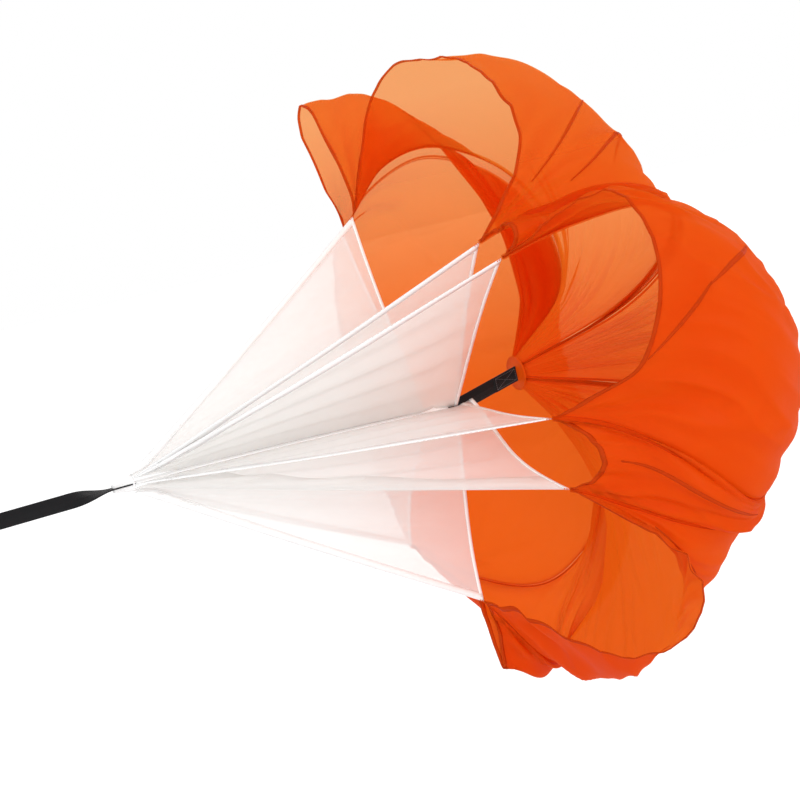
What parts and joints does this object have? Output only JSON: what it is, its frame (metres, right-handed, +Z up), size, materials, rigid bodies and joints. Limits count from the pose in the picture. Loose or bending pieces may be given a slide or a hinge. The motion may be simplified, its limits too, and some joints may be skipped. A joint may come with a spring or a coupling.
{
  "type": "speed parachute",
  "caption": "Running resistance parachute: waist belt with side release buckle, D-ring, swivel snap hook, webbing tether and an inflated lobed canopy on radial fins.",
  "frame": {"origin": "the inner face of the belt at the middle of the runner's back", "axes": "+X from the runner to the crown of the chute along the tether, +Z up along the runner's body"},
  "size_m": [1.6224, 1.0879, 1.097],
  "materials": {
    "orange_cloth": "thin translucent nylon",
    "white_cloth": "thin translucent nylon",
    "webbing": "woven",
    "plastic": "moulded",
    "steel": "nickel plated"
  },
  "bodies": {
    "belt": {"belt_webbing": "webbing", "ring_tab": "webbing", "d_ring": "steel", "buckle_socket": "plastic", "buckle_plug": "plastic"},
    "prong_upper": {"prong_upper": "plastic"},
    "prong_lower": {"prong_lower": "plastic"},
    "slider": {"slider": "plastic"},
    "hook": {"snap_hook": "steel", "gate_pin": "steel"},
    "gate": {"hook_gate": "steel"},
    "chute": {"swivel_eye": "steel", "tether_loop": "webbing", "tether": "webbing", "apex_seam": "white_cloth", "centre_strap": "webbing", "crown_patch": "orange_cloth", "fin_far_upper": "white_cloth", "fin_top_left": "white_cloth", "fin_top_right": "white_cloth", "fin_near_upper": "white_cloth", "fin_near_lower": "white_cloth", "fin_bottom_near": "white_cloth", "fin_bottom_far": "white_cloth", "fin_far_lower": "white_cloth", "lobe_top": "orange_cloth", "lobe_near": "orange_cloth", "lobe_bottom": "orange_cloth", "lobe_far": "orange_cloth", "gore_upper_far": "orange_cloth", "gore_upper_near": "orange_cloth", "gore_lower_near": "orange_cloth", "gore_lower_far": "orange_cloth"}
  },
  "joints": [
    {"name": "prong_upper_squeeze", "type": "hinge", "parent": "belt", "child": "prong_upper", "pos_m": [-0.23625, 0.0038, 0.0145], "axis": [1, 0, 0], "range_deg": [0, 6], "stiffness_Nm_per_rad": 1.2},
    {"name": "prong_lower_squeeze", "type": "hinge", "parent": "belt", "child": "prong_lower", "pos_m": [-0.23625, 0.0038, -0.0145], "axis": [-1, 0, 0], "range_deg": [0, 6], "stiffness_Nm_per_rad": 1.2},
    {"name": "slider_slide", "type": "slide", "parent": "belt", "child": "slider", "axis": [0, 1, 0], "range_m": [-0.012, 0.012]},
    {"name": "hook_swing", "type": "hinge", "parent": "belt", "child": "hook", "pos_m": [0.033, 0, 0], "axis": [0, 0, 1], "range_deg": [-50, 50]},
    {"name": "gate_open", "type": "hinge", "parent": "hook", "child": "gate", "pos_m": [0.07167, -0.0083, 0], "axis": [0, 0, -1], "range_deg": [0, 16], "stiffness_Nm_per_rad": 0.06},
    {"name": "swivel_turn", "type": "hinge", "parent": "hook", "child": "chute", "pos_m": [0.081, 0, 0], "axis": [1, 0, 0], "continuous": true}
  ]
}
